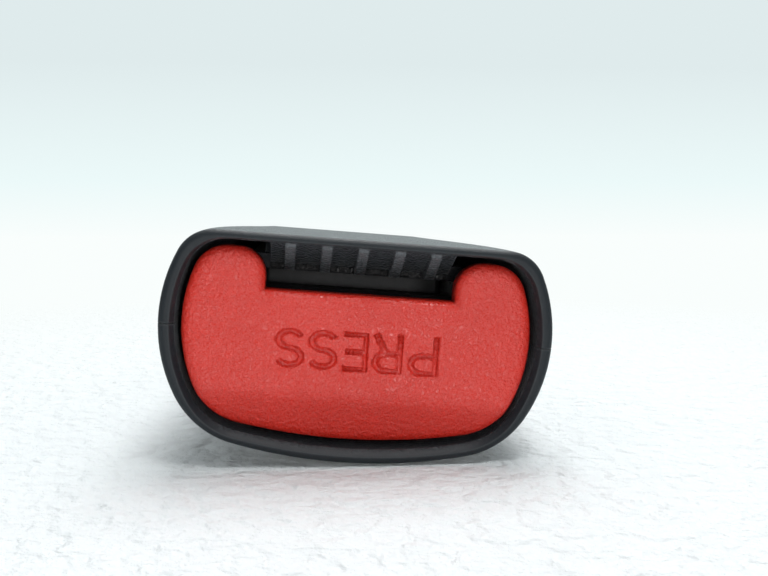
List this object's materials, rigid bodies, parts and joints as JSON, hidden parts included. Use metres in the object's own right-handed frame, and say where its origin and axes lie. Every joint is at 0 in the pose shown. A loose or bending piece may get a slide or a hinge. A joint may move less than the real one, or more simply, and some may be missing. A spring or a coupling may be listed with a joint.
{
  "type": "seat belt buckle",
  "caption": "End-release seat belt buckle: D-section case with a press button round the tongue slot, latch, ejector and springs inside, on a flat steel strap.",
  "frame": {"origin": "centre of the anchor bolt hole, in the middle of the strap's thickness", "axes": "+Y runs from the mouth along the strap to the anchor eye, so the mouth looks along -Y; +Z is the flat grained side; X is the width"},
  "size_m": [0.0562, 0.151, 0.032],
  "materials": {
    "case_black": "grained black plastic",
    "button_red": "spark-grained red plastic",
    "zinc_steel": "zinc-plated pressed steel",
    "hard_steel": "hardened steel",
    "spring_steel": "drawn spring wire",
    "screw_steel": "black phosphated steel",
    "guide_plastic": "moulded dark plastic",
    "slider_plastic": "black acetal",
    "boot_rubber": "soft matt rubber"
  },
  "bodies": {
    "case": {"upper_cover": "case_black", "lower_cover": "case_black", "frame": "zinc_steel", "tongue_guide": "guide_plastic", "latch_pivot_pin": "hard_steel", "latch_spring": "spring_steel", "lock_spring": "spring_steel", "ejector_spring": "spring_steel", "button_spring_left": "spring_steel", "button_spring_right": "spring_steel", "spring_seat": "guide_plastic", "anchor_strap": "zinc_steel", "strap_rivets": "hard_steel", "strap_boot": "boot_rubber", "anchor_bush": "zinc_steel", "cover_screws": "screw_steel"},
    "button": {"press_button": "button_red"},
    "ejector": {"ejector": "slider_plastic"},
    "latch": {"latch": "hard_steel"},
    "lock": {"lock_slider": "slider_plastic", "lock_bar": "hard_steel"}
  },
  "joints": [
    {"name": "button_press", "type": "slide", "parent": "case", "child": "button", "axis": [0, 1, 0], "range_m": [0, 0.005], "stiffness_N_per_m": 800, "springref_m": -0.005, "deforming": ["button_spring_left", "button_spring_right"]},
    {"name": "ejector_slide", "type": "slide", "parent": "case", "child": "ejector", "axis": [0, 1, 0], "range_m": [0, 0.0095], "stiffness_N_per_m": 500, "springref_m": -0.006, "deforming": ["ejector_spring"]},
    {"name": "latch_hinge", "type": "hinge", "parent": "case", "child": "latch", "pos_m": [0, -0.092, -0.008], "axis": [-1, 0, 0], "range_deg": [0, 13.5], "deforming": ["latch_spring"]},
    {"name": "lock_slide", "type": "slide", "parent": "case", "child": "lock", "axis": [0, -1, 0], "range_m": [0, 0.006], "deforming": ["lock_spring"]}
  ],
  "couplings": [
    {"joint": "latch_hinge", "follows": "ejector_slide", "rad_per_m": 24.802},
    {"joint": "lock_slide", "follows": "ejector_slide", "ratio": 0.63158}
  ]
}
